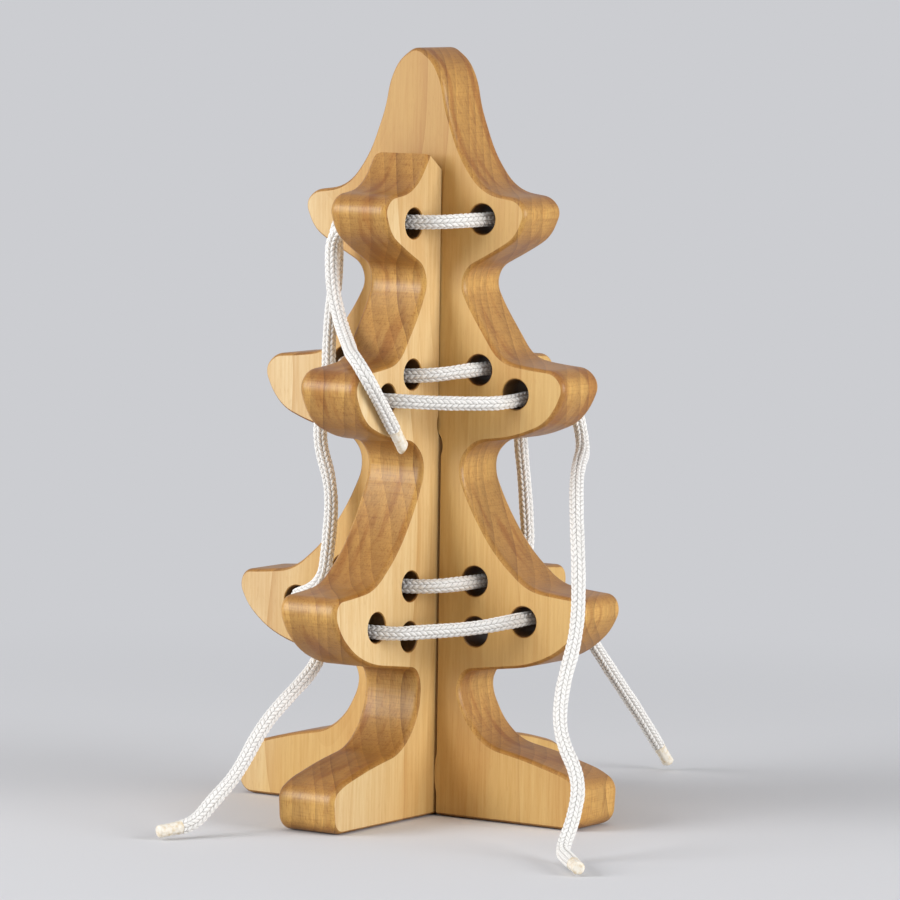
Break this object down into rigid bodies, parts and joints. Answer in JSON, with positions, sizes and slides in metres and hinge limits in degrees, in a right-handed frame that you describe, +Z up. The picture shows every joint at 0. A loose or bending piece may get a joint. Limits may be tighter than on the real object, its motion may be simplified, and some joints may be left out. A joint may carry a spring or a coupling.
{
  "type": "threading tree",
  "caption": "Wooden threading tree made of two slotted boards crossed at right angles, with laces threaded through the holes of its branches.",
  "frame": {"origin": "on the floor, midway between the four feet, under the line where the two boards cross", "axes": "+Z up; +X along the right branches of the tree board; -Y along the branches of the cross board that point at the viewer"},
  "size_m": [0.1506, 0.1928, 0.2068],
  "materials": {
    "oiled_wood": "sanded and oiled, satin",
    "braided_cord": "white braided polyester, matt with a slight sheen",
    "hardened_cord": "cord end stiffened with clear glue, creamy and smooth"
  },
  "bodies": {
    "cross": {"cross_board": "oiled_wood"},
    "tree": {"tree_board": "oiled_wood", "top_lace": "braided_cord", "middle_lace": "braided_cord", "top_lace_high_tip": "hardened_cord", "top_lace_floor_tip": "hardened_cord", "middle_lace_front_tip": "hardened_cord", "middle_lace_back_tip": "hardened_cord"}
  },
  "joints": [
    {"name": "board_lift", "type": "slide", "parent": "cross", "child": "tree", "axis": [0, 0, 1], "range_m": [0, 0.0012]}
  ]
}
